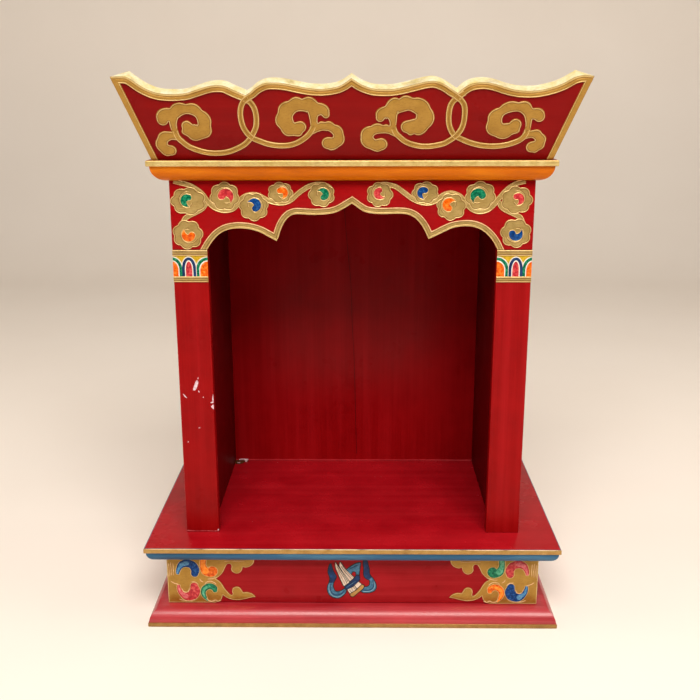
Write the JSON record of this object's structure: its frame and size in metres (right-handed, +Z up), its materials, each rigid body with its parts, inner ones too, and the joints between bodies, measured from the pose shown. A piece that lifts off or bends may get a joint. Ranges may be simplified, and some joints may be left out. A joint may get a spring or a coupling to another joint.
{
  "type": "home altar",
  "caption": "Painted wooden table altar: moulded plinth and shelf, open niche behind an arched front, moulded roof and flaring cornice with raised gilt scrolls.",
  "frame": {"origin": "on the standing surface, under the middle of the altar's bounding box", "axes": "+Z up, -Y out of the open front of the niche, +X to the right as one faces the altar"},
  "size_m": [0.3654, 0.2176, 0.4715],
  "materials": {
    "red_lacquer": "wood brushed with glossy deep red lacquer over a thin ground",
    "gilt_paint": "raised gesso and wood painted with satin gold paint",
    "colour_paint": "glossy painted colours: blue, green, orange, rose and white",
    "bare_wood": "plain stained wood"
  },
  "bodies": {
    "root": {"plinth_board": "red_lacquer", "base_front": "red_lacquer", "base_back": "bare_wood", "base_left": "red_lacquer", "base_right": "red_lacquer", "shelf_board": "red_lacquer", "post_left": "red_lacquer", "post_right": "red_lacquer", "arched_header": "red_lacquer", "side_wall_left": "red_lacquer", "side_wall_right": "red_lacquer", "back_panel": "red_lacquer", "roof_board": "red_lacquer", "cornice_front": "red_lacquer", "cornice_left": "red_lacquer", "cornice_right": "red_lacquer"}
  },
  "joints": []
}
